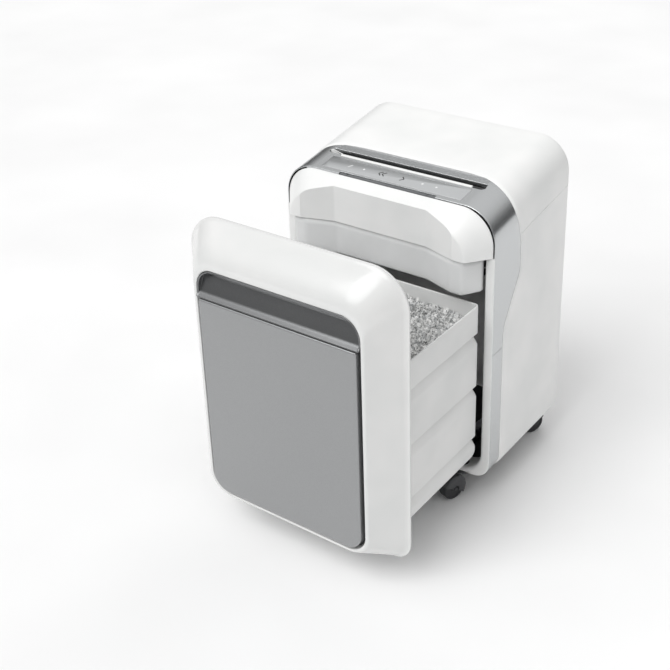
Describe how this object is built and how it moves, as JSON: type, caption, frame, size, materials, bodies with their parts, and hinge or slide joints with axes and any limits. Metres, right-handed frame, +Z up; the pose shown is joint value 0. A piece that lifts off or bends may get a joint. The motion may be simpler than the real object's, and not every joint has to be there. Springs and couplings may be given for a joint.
{
  "type": "pull-out-bin paper shredder",
  "caption": "Office paper shredder with a touch-key head, a paper slot, meshed cutter shafts driven by a motor, and a drawer bin with a gloss front that slides out on rails, on swivel casters.",
  "frame": {"origin": "on the floor, below the middle of the machine's bounding box with its drawer out", "axes": "+Z up, +X to the right of someone facing the drawer front, -Y out of the drawer front; the drawer slides along -Y"},
  "size_m": [0.36, 0.496, 0.52],
  "materials": {
    "gloss_white_plastic": "semi-gloss moulded white",
    "drawer_white_plastic": "gloss moulded white",
    "matt_white_plastic": "fine matt moulded white",
    "pale_grey_plastic": "satin pale grey",
    "silver_paint": "satin silver paint",
    "satin_silver_plate": "satin silver",
    "dark_grip_metallic": "dark metallic paint",
    "touch_overlay_film": "semi-gloss film",
    "light_bar_lens": "smoked lens",
    "black_plastic": "matt black",
    "black_rubber": "matt rubber",
    "circuit_board": "solder mask",
    "zinc_plated_steel": "zinc plated",
    "cutter_steel": "oiled machined steel",
    "gear_plastic": "natural nylon",
    "motor_case": "dark painted can",
    "shredded_paper": "matt paper confetti",
    "caster_plastic": "matt dark grey",
    "caster_tread": "dark grey tread"
  },
  "bodies": {
    "cabinet": {"side_panel_left": "gloss_white_plastic", "side_panel_right": "gloss_white_plastic", "head_cover": "gloss_white_plastic", "rear_cover": "gloss_white_plastic", "base_tray": "black_plastic", "front_frame": "matt_white_plastic", "trim_strip_left": "silver_paint", "trim_strip_right": "silver_paint", "trim_band": "silver_paint", "touch_overlay": "touch_overlay_film", "light_bar": "light_bar_lens", "slot_lip": "gloss_white_plastic", "slot_throat": "black_plastic", "fascia": "gloss_white_plastic", "cutter_cover": "pale_grey_plastic", "deck": "zinc_plated_steel", "cutter_plate_left": "zinc_plated_steel", "cutter_plate_right": "zinc_plated_steel", "tie_bar_front": "zinc_plated_steel", "tie_bar_rear": "zinc_plated_steel", "stripper_front": "black_plastic", "stripper_rear": "black_plastic", "motor_body": "motor_case", "control_board": "circuit_board", "board_tray": "black_plastic", "motor_capacitor": "black_plastic", "bin_sensor": "black_plastic", "touch_board": "circuit_board", "rocker_frame": "black_plastic", "cord_gland": "black_rubber", "rail_outer_left": "zinc_plated_steel", "rail_outer_right": "zinc_plated_steel"},
    "drawer": {"bin": "matt_white_plastic", "paper_fill": "shredded_paper", "bin_magnet": "zinc_plated_steel", "drawer_front": "drawer_white_plastic", "drawer_inset": "satin_silver_plate", "grip_tray": "dark_grip_metallic", "rail_inner_left": "zinc_plated_steel", "rail_inner_right": "zinc_plated_steel"},
    "mid_rail_left": {"rail_mid_left": "zinc_plated_steel"},
    "mid_rail_right": {"rail_mid_right": "zinc_plated_steel"},
    "cutter_a": {"cutter_shaft_a": "cutter_steel", "sync_gear_a": "cutter_steel", "bull_gear": "cutter_steel"},
    "cutter_b": {"cutter_shaft_b": "cutter_steel", "sync_gear_b": "cutter_steel"},
    "idler": {"idler_gear": "gear_plastic"},
    "rotor": {"motor_rotor": "cutter_steel"},
    "rocker_switch": {"rocker": "black_plastic"},
    "caster_front_left": {"caster_fork_front_left": "caster_plastic"},
    "wheel_front_left": {"caster_wheel_front_left": "caster_tread"},
    "caster_front_right": {"caster_fork_front_right": "caster_plastic"},
    "wheel_front_right": {"caster_wheel_front_right": "caster_tread"},
    "caster_rear_left": {"caster_fork_rear_left": "caster_plastic"},
    "wheel_rear_left": {"caster_wheel_rear_left": "caster_tread"},
    "caster_rear_right": {"caster_fork_rear_right": "caster_plastic"},
    "wheel_rear_right": {"caster_wheel_rear_right": "caster_tread"}
  },
  "joints": [
    {"name": "drawer_slide", "type": "slide", "parent": "cabinet", "child": "drawer", "axis": [0, -1, 0], "range_m": [-0.2095, 0.01]},
    {"name": "mid_rail_left_slide", "type": "slide", "parent": "cabinet", "child": "mid_rail_left", "axis": [0, -1, 0], "range_m": [-0.10475, 0.005]},
    {"name": "mid_rail_right_slide", "type": "slide", "parent": "cabinet", "child": "mid_rail_right", "axis": [0, -1, 0], "range_m": [-0.10475, 0.005]},
    {"name": "cutter_a_spin", "type": "hinge", "parent": "cabinet", "child": "cutter_a", "pos_m": [0, 0.084, 0.404], "axis": [1, 0, 0], "continuous": true},
    {"name": "cutter_b_spin", "type": "hinge", "parent": "cabinet", "child": "cutter_b", "pos_m": [0, 0.044, 0.404], "axis": [1, 0, 0], "continuous": true},
    {"name": "idler_spin", "type": "hinge", "parent": "cabinet", "child": "idler", "pos_m": [0.14, 0.11953, 0.43361], "axis": [1, 0, 0], "continuous": true},
    {"name": "rotor_spin", "type": "hinge", "parent": "cabinet", "child": "rotor", "pos_m": [0.05, 0.162, 0.432], "axis": [1, 0, 0], "continuous": true},
    {"name": "rocker_tilt", "type": "hinge", "parent": "cabinet", "child": "rocker_switch", "pos_m": [-0.11, 0.228, 0.33], "axis": [1, 0, 0], "range_deg": [0, 12]},
    {"name": "caster_front_left_swivel", "type": "hinge", "parent": "cabinet", "child": "caster_front_left", "pos_m": [-0.128, 0.026, 0.04], "axis": [0, 0, 1], "continuous": true},
    {"name": "wheel_front_left_roll", "type": "hinge", "parent": "caster_front_left", "child": "wheel_front_left", "pos_m": [-0.13509, 0.00307, 0.019], "axis": [0.9553, -0.2955, 0], "continuous": true},
    {"name": "caster_front_right_swivel", "type": "hinge", "parent": "cabinet", "child": "caster_front_right", "pos_m": [0.128, 0.026, 0.04], "axis": [0, 0, 1], "continuous": true},
    {"name": "wheel_front_right_roll", "type": "hinge", "parent": "caster_front_right", "child": "wheel_front_right", "pos_m": [0.12091, 0.00307, 0.019], "axis": [0.9553, -0.2955, 0], "continuous": true},
    {"name": "caster_rear_left_swivel", "type": "hinge", "parent": "cabinet", "child": "caster_rear_left", "pos_m": [-0.128, 0.202, 0.04], "axis": [0, 0, 1], "continuous": true},
    {"name": "wheel_rear_left_roll", "type": "hinge", "parent": "caster_rear_left", "child": "wheel_rear_left", "pos_m": [-0.11649, 0.22306, 0.019], "axis": [-0.8776, 0.4794, 0], "continuous": true},
    {"name": "caster_rear_right_swivel", "type": "hinge", "parent": "cabinet", "child": "caster_rear_right", "pos_m": [0.128, 0.202, 0.04], "axis": [0, 0, 1], "continuous": true},
    {"name": "wheel_rear_right_roll", "type": "hinge", "parent": "caster_rear_right", "child": "wheel_rear_right", "pos_m": [0.13951, 0.22306, 0.019], "axis": [-0.8776, 0.4794, 0], "continuous": true}
  ],
  "couplings": [
    {"joint": "mid_rail_left_slide", "follows": "drawer_slide", "ratio": 0.5},
    {"joint": "mid_rail_right_slide", "follows": "drawer_slide", "ratio": 0.5},
    {"joint": "cutter_b_spin", "follows": "cutter_a_spin", "ratio": -1},
    {"joint": "idler_spin", "follows": "cutter_a_spin", "ratio": -4.2857},
    {"joint": "rotor_spin", "follows": "cutter_a_spin", "ratio": 20}
  ]
}
